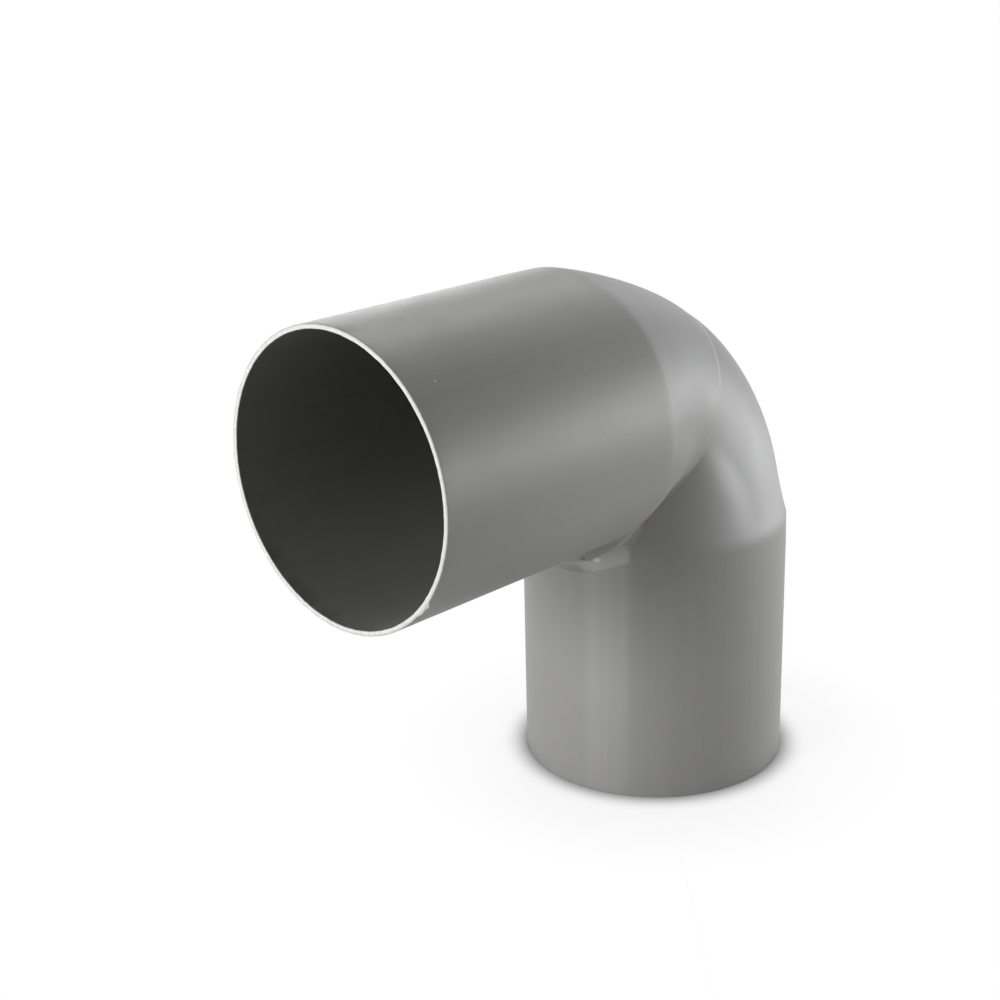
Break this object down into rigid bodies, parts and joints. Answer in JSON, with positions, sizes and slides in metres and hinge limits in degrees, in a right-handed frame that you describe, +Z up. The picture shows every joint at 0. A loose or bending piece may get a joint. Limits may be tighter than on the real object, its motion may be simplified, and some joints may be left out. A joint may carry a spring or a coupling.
{
  "type": "pipe elbow",
  "caption": "Thin-walled right-angle pressure pipe elbow with plain spigot ends and a tight formed bend, standing on its lower end.",
  "frame": {"origin": "centre of the lower open end, in the plane of that end", "axes": "+Z up along the lower tube's axis; the other tube's axis points along -X; Y = 0 is the plane of symmetry"},
  "size_m": [0.2285, 0.11, 0.2175],
  "materials": {
    "grey_pvc": "satin"
  },
  "bodies": {
    "root": {"elbow": "grey_pvc"}
  },
  "joints": []
}
